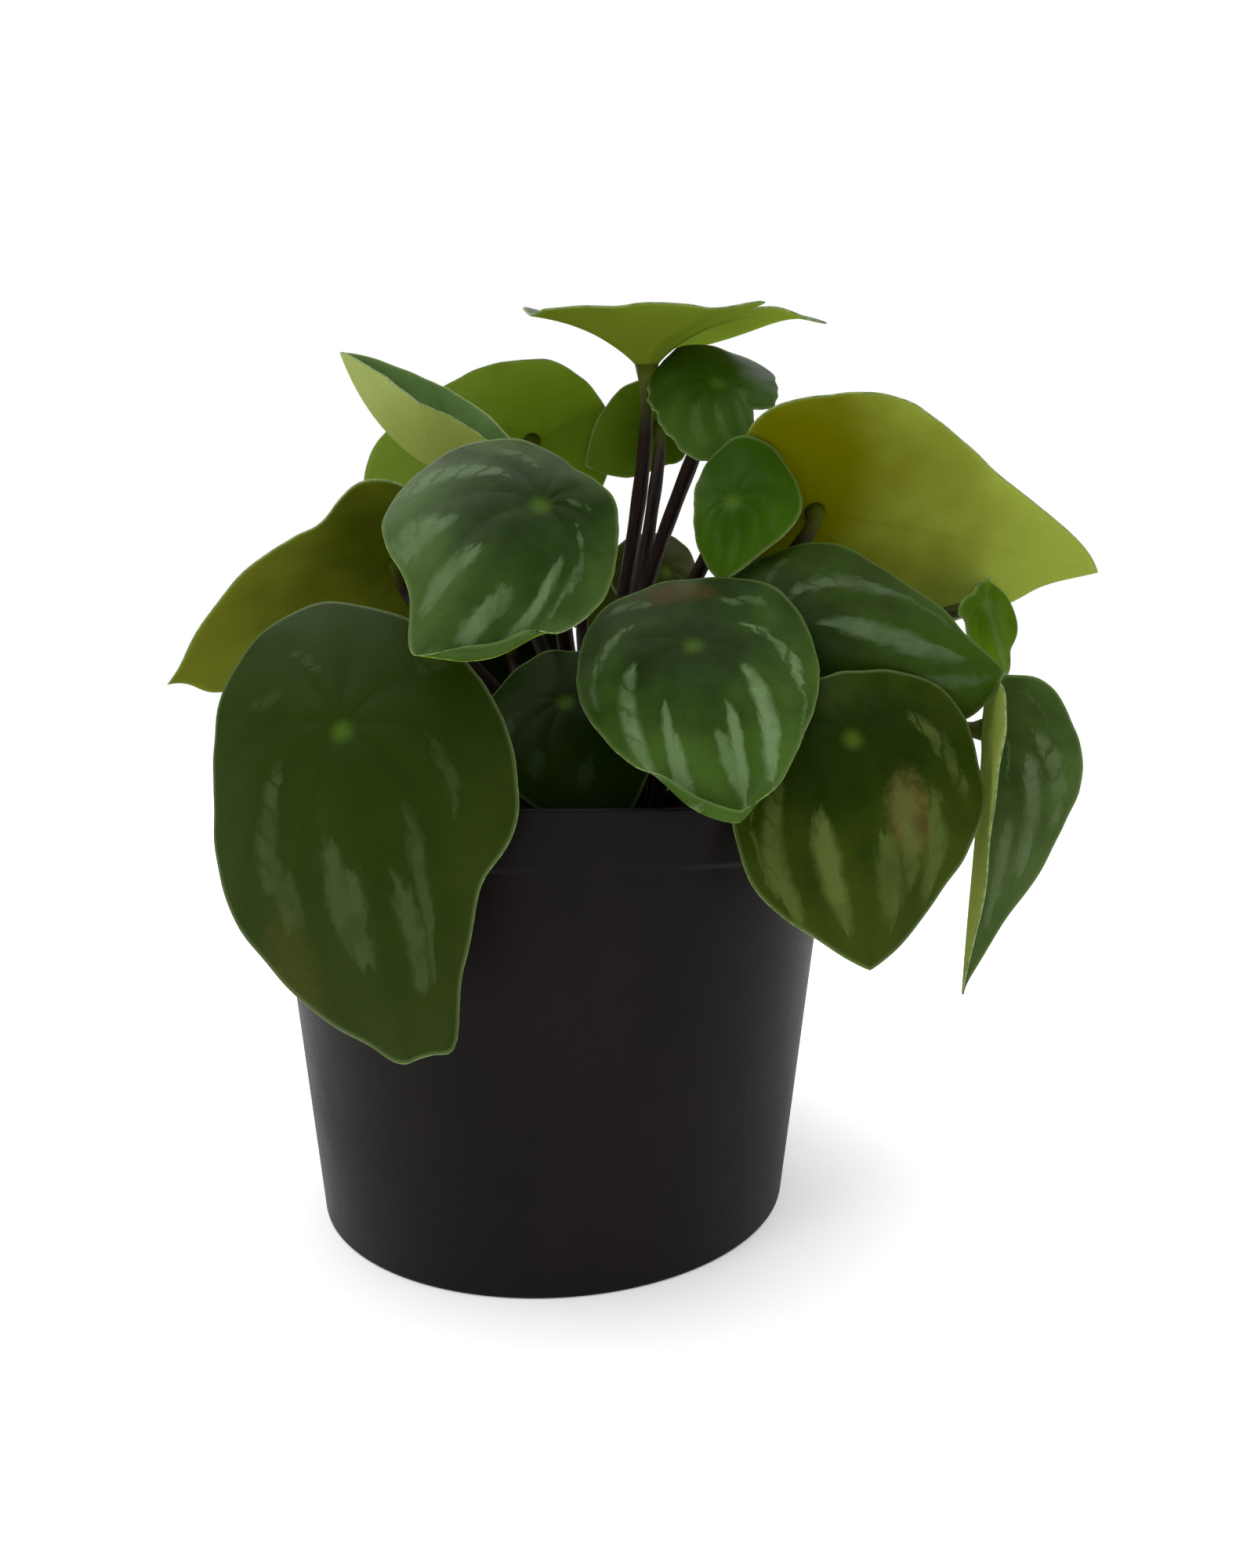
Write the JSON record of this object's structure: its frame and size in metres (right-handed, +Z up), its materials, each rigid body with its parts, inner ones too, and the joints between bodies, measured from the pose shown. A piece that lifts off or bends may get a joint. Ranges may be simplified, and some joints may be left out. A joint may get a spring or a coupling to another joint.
{
  "type": "potted peperomia plant",
  "caption": "Potted house plant: a loose dome of pointed oval striped leaves on thin stalks, in a round tapered pot with a shallow rim collar.",
  "frame": {"origin": "middle of the pot's underside, on the surface that it stands on", "axes": "+Z up along the pot's axis, front of the plant towards -Y, its longest leaf towards +X"},
  "size_m": [0.1998, 0.1719, 0.1969],
  "materials": {
    "pot": "satin",
    "soil": "matte",
    "leaf": "satin",
    "stalk": "satin"
  },
  "bodies": {
    "root": {"blade_back_high": "leaf", "blade_back_left_high": "leaf", "blade_back_middle": "leaf", "blade_far_right": "leaf", "blade_front_left": "leaf", "blade_front_middle": "leaf", "blade_front_right": "leaf", "blade_inner_front": "leaf", "blade_inner_rear": "leaf", "blade_inner_right": "leaf", "blade_left_low": "leaf", "blade_left_side": "leaf", "blade_middle_right": "leaf", "blade_rear_left": "leaf", "blade_rear_left_low": "leaf", "blade_rear_left_middle": "leaf", "blade_rear_low": "leaf", "blade_rear_middle": "leaf", "blade_rear_right": "leaf", "blade_rear_right_low": "leaf", "blade_right_narrow": "leaf", "blade_top": "leaf", "blade_top_young": "leaf", "blade_upper_front": "leaf", "blade_upper_left": "leaf", "blade_upper_right": "leaf", "pot": "pot", "soil": "soil", "stalk_back_high": "stalk", "stalk_back_left_high": "stalk", "stalk_back_middle": "stalk", "stalk_far_right": "stalk", "stalk_front_left": "stalk", "stalk_front_middle": "stalk", "stalk_front_right": "stalk", "stalk_inner_front": "stalk", "stalk_inner_rear": "stalk", "stalk_inner_right": "stalk", "stalk_left_low": "stalk", "stalk_left_side": "stalk", "stalk_middle_right": "stalk", "stalk_rear_left": "stalk", "stalk_rear_left_low": "stalk", "stalk_rear_left_middle": "stalk", "stalk_rear_low": "stalk", "stalk_rear_middle": "stalk", "stalk_rear_right": "stalk", "stalk_rear_right_low": "stalk", "stalk_right_narrow": "stalk", "stalk_top": "stalk", "stalk_top_young": "stalk", "stalk_upper_front": "stalk", "stalk_upper_left": "stalk", "stalk_upper_right": "stalk"}
  },
  "joints": []
}
